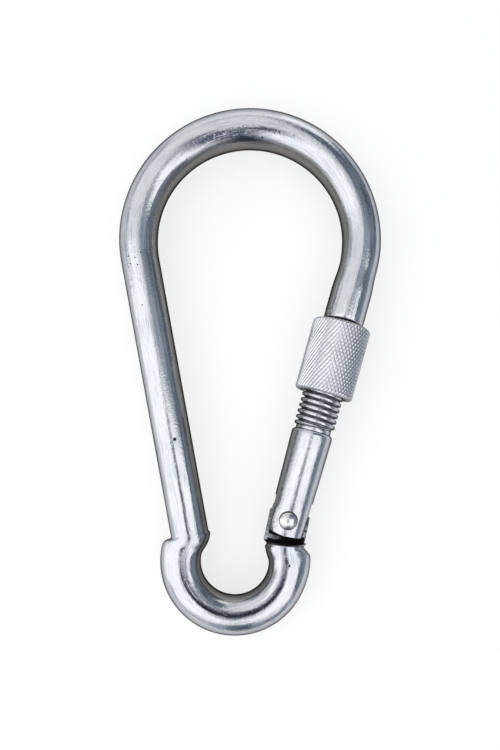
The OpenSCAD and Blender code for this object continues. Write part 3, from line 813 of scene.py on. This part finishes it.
# Pits: (millimetres below the spine's top, degrees from its upper side, radius in mm)
PITS = ((62.5, 12, 0.75), (63.5, -2, 0.25), (-0.5, -28, 0.35), (2, -26, 0.3), (0.5, -8, 0.3), (3, -4, 0.3),
        (-1, 12, 0.35), (16.5, -12, 0.25))
pits = [(on_spine(down, angle), radius) for down, angle, radius in PITS]
# the finishes below take their painted shade from the functions above; the hook also gets a painted reflection
# on its crests, and the hook and the gate are painted darker on their inner side
zinc_hook = steel("zinc_hook", ZINC, 0.095, marks_at=pits, painted_shade=joint_painted_shade, inner_shade=0.85, painted_reflection=crest_painted_reflection)
zinc_gate = steel("zinc_gate", ZINC, 0.11, streaks=0.7, scratches=0.8, peel=1.7, painted_shade=gate_painted_shade, inner_shade=0.65)
zinc_sleeve = steel("zinc_sleeve", (0.635, 0.645, 0.67), 0.19, streaks=0.3, scratches=0.3, waves=0.3,
                    painted_shade=groove_painted_shade)
rivet_steel = steel("rivet_steel", (0.6, 0.6, 0.6), 0.17, streaks=0.3, scratches=0.6, peel=1.3,
                    painted_shade=rivet_painted_shade)
spring_steel = steel("spring_steel", (0.42, 0.41, 0.40), 0.25, streaks=0.3)
plunger_steel = steel("plunger_steel", (0.46, 0.45, 0.44), 0.22, streaks=0.3)

for piece, material in ((hook, zinc_hook), (gate, zinc_gate), (rivet, rivet_steel), (sleeve, zinc_sleeve),
                        (frame["nodes"]["gate_spring"], spring_steel),
                        (frame["nodes"]["spring_plunger"], plunger_steel)):
    piece.data.materials.clear()
    piece.data.materials.append(material)

for piece, body, node, slot in ((hook, "hook", "hook_body", "hook_zinc"), (gate, "gate", "gate", "gate_zinc"),
                                (rivet, "gate", "hinge_rivet", "rivet_steel"),
                                (sleeve, "sleeve", "lock_sleeve", "sleeve_zinc")):
    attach(piece, body)
    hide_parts(node)


# ---------------------------------------------------------------- studio

def soft_square(m, u, v, u_range, v_range, soft=4.0):
    """A soft-edged rectangle in two angles, in degrees."""
    inside = 1.0
    for angle, (low, high) in ((u, u_range), (v, v_range)):
        inside = m.maths("MULTIPLY", inside, m.ramp(angle, low, low + soft))
        inside = m.maths("MULTIPLY", inside, m.ramp(angle, high, high - soft))
    return inside


TENT_R = 0.9
# The dark opening that the picture is taken through: lean to +X and to +Y, and half widths, in degrees
OPENING_AT, OPENING_HALF = (-3, -14), (9.5, 21)


def light_tent():
    """A dome over the object, bright where its softboxes are. The camera doesn't see it."""
    bpy.ops.mesh.primitive_uv_sphere_add(segments=48, ring_count=32, radius=TENT_R,
                                         location=(0, 0, MID_Z * MM))
    tent = bpy.context.object
    tent.name = "light_tent"
    form = bmesh.new()
    form.from_mesh(tent.data)
    bmesh.ops.delete(form, geom=[v for v in form.verts if v.co.z < -0.001], context="VERTS")
    form.to_mesh(tent.data)
    form.free()
    m = Nodes("light_tent")
    m.tree.nodes.remove(m.shader)
    to_sky = m.add("VectorMath", {0: m.place}, operation="NORMALIZE")
    m.add("SeparateXYZ", {0: to_sky})
    x, y, z = m.tree.nodes[-1].outputs
    # how far a direction leans from straight up, in degrees to +X and to +Y
    lean = m.maths("MULTIPLY", m.maths("ARCCOSINE", z), 180 / math.pi)
    share = m.maths("DIVIDE", lean, m.maths("SQRT", m.maths("SUBTRACT", 1.0001, m.maths("MULTIPLY", z, z))))
    u, v = m.maths("MULTIPLY", x, share), m.maths("MULTIPLY", y, share)
    level = m.maths("ADD", m.ramp(u, 10, -50, 0.3, 0.84), m.ramp(v, -30, -60, 0.0, 0.15))
    level = m.maths("MULTIPLY", level, m.ramp(m.noise(to_sky, 6.5, 2, 0.6), 0.3, 0.7, 0.35, 1.65))
    for u_range, v_range, soft, strength in TENT_BOXES:
        mask = soft_square(m, u, v, u_range, v_range, soft)
        level = m.maths("MAXIMUM", level, m.maths("MULTIPLY", mask, strength))
    away_u, away_v = (m.maths("DIVIDE", m.maths("SUBTRACT", angle, at), half)
                      for angle, at, half in zip((u, v), OPENING_AT, OPENING_HALF))
    away = m.add("CombineXYZ", {0: away_u, 1: away_v})
    m.add("VectorMath", {0: away}, operation="LENGTH")
    level = m.maths("MULTIPLY", level, m.ramp(m.tree.nodes[-1].outputs["Value"], 0.45, 1.25, 0.06, 1.0))
    for u_range, v_range, left in TENT_FRAMES:
        strip = soft_square(m, u, v, u_range, v_range)
        level = m.maths("MULTIPLY", level, m.maths("MULTIPLY_ADD", strip, left - 1, 1.0))
    colour = m.blend(m.ramp(level, 0.1, 1.2), (0.66, 0.79, 1, 1), (1, 1, 1, 1))
    glow = m.add("Emission", {"Color": colour, "Strength": level})
    m.tree.links.new(glow, m.tree.nodes["Material Output"].inputs["Surface"])
    tent.data.materials.append(m.material)
    tent.visible_camera = False


# Where the softboxes stand: lean to +X, lean to +Y, softness of the edge, all in degrees, and strength
TENT_BOXES = (((-98, -44), (-46, 16), 8, 1.7), ((-64, 2), (-62, 24), 9, 1.7),
              ((-64, 50), (-72, -44), 12, 1.2),
              ((-64, -4), (8, 66), 14, 1.2), ((-34, 16), (2, 62), 12, 1.15), ((-6, 58), (-58, 14), 8, 1.62),
              ((0, 54), (6, 32), 12, 0.65), ((-46, 46), (52, 94), 10, 1.2), ((6, 42), (60, 92), 8, 1.6),
              ((60, 95), (-46, 14), 5, 0.42))
# Dark strips between them: the same two leans, and the share of light left there
TENT_FRAMES = (((-9, 15), (-102, -54), 0.4), ((51, 62), (-46, 12), 0.42))
light_tent()

world = bpy.data.worlds.new("studio")
bpy.context.scene.world = world
world.use_nodes = True
world.node_tree.nodes["Background"].inputs["Color"].default_value = (1, 1, 1, 1)
world.node_tree.nodes["Background"].inputs["Strength"].default_value = 1.05

FLOOR_HALF, FLOOR_Z = 4, -0.0002
GLOW_SEEN, GLOW_MIRRORED = 0.68, 0.42
floor_mesh = bpy.data.meshes.new("floor")
corners = [(x * FLOOR_HALF, y * FLOOR_HALF, FLOOR_Z) for x, y in ((-1, -1), (1, -1), (1, 1), (-1, 1))]
floor_mesh.from_pydata(corners, [], [(0, 1, 2, 3)])
floor = bpy.data.objects.new("floor", floor_mesh)
bpy.context.scene.collection.objects.link(floor)
m = Nodes("white_floor")
m.shader.inputs["Base Color"].default_value = (0.95, 0.95, 0.95, 1)
m.shader.inputs["Roughness"].default_value = 0.6
# a pale glow, as of a lit table, lifts the shadows wherever the floor is seen
path = m.tree.nodes.new("ShaderNodeLightPath").outputs
bounced = m.maths("MAXIMUM", path["Is Glossy Ray"], path["Is Transmission Ray"])
mirrored = m.maths("MULTIPLY", bounced, GLOW_MIRRORED)
seen = m.maths("MAXIMUM", m.maths("MULTIPLY", path["Is Camera Ray"], GLOW_SEEN), mirrored)
table = m.add("Emission", {"Color": (1, 1, 1, 1), "Strength": 1.0})
lit = m.add("MixShader", {0: seen, 1: m.shader.outputs[0], 2: table})
m.tree.links.new(lit, m.tree.nodes["Material Output"].inputs["Surface"])
floor_mesh.materials.append(m.material)

camera = bpy.data.objects.new("camera", bpy.data.cameras.new("camera"))
bpy.context.scene.collection.objects.link(camera)
camera.location = (0, -0.0265, 0.245)
camera.data.lens, camera.data.sensor_width, camera.data.shift_y = 32.89, 36, 0.1
camera.data.clip_start = 0.01
bpy.context.scene.camera = camera
bpy.context.scene.view_settings.view_transform = "Standard"
